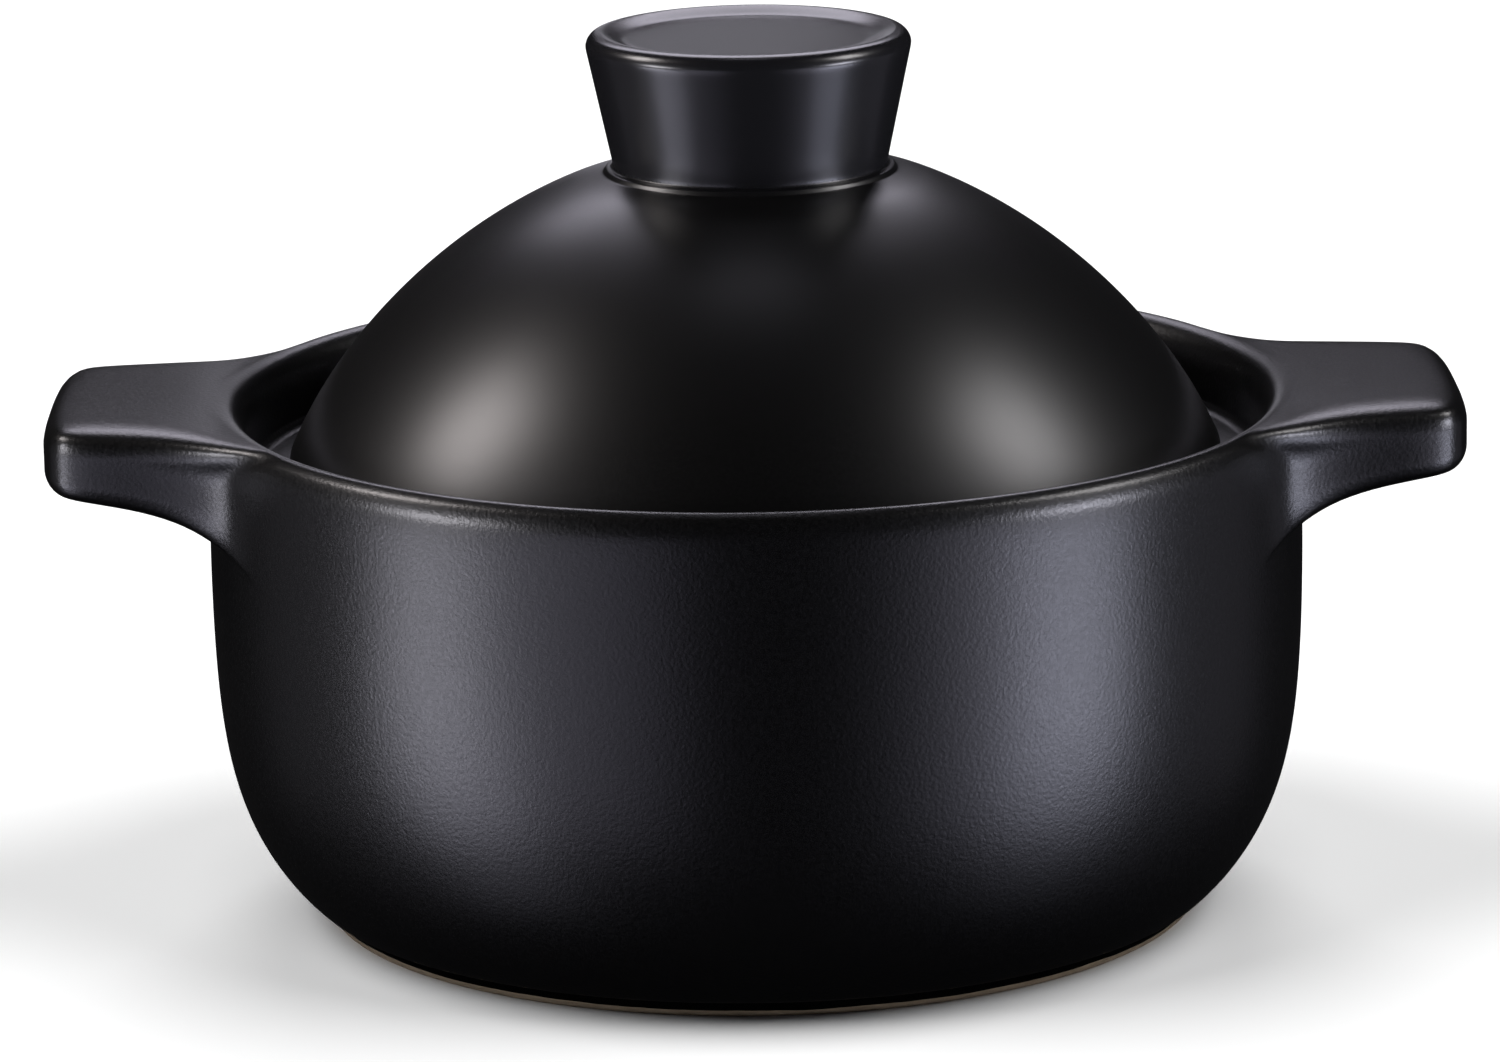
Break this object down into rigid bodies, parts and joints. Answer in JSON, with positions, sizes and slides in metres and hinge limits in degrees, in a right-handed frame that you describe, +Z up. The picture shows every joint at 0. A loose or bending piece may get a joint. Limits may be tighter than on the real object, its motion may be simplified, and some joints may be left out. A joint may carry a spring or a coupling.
{
  "type": "lidded clay casserole",
  "caption": "Round black-glazed clay casserole on a turned foot, with lug handles, a lid ledge inside the rim and a domed lid with a flared, dished knob.",
  "frame": {"origin": "on the table, under the axis of the bowl, at the flat underside of the foot ring", "axes": "+Z up along the bowl's axis, +X towards the right handle, +Y away from the viewer of the picture"},
  "size_m": [0.2608, 0.2024, 0.1632],
  "materials": {
    "pot_glaze": "near-black satin glaze with a fine orange peel",
    "lid_glaze": "near-black satin glaze with a fine orange peel",
    "bare_clay": "wiped, unglazed buff clay under a dark glaze line"
  },
  "bodies": {
    "pot": {"pot_bowl": "pot_glaze", "foot_ring": "bare_clay", "left_handle": "pot_glaze", "right_handle": "pot_glaze"},
    "lid": {"lid_dome": "lid_glaze", "lid_knob": "lid_glaze"}
  },
  "joints": [
    {"name": "lid_lift", "type": "slide", "parent": "pot", "child": "lid", "axis": [0, 0, 1], "range_m": [0, 0.15]}
  ]
}
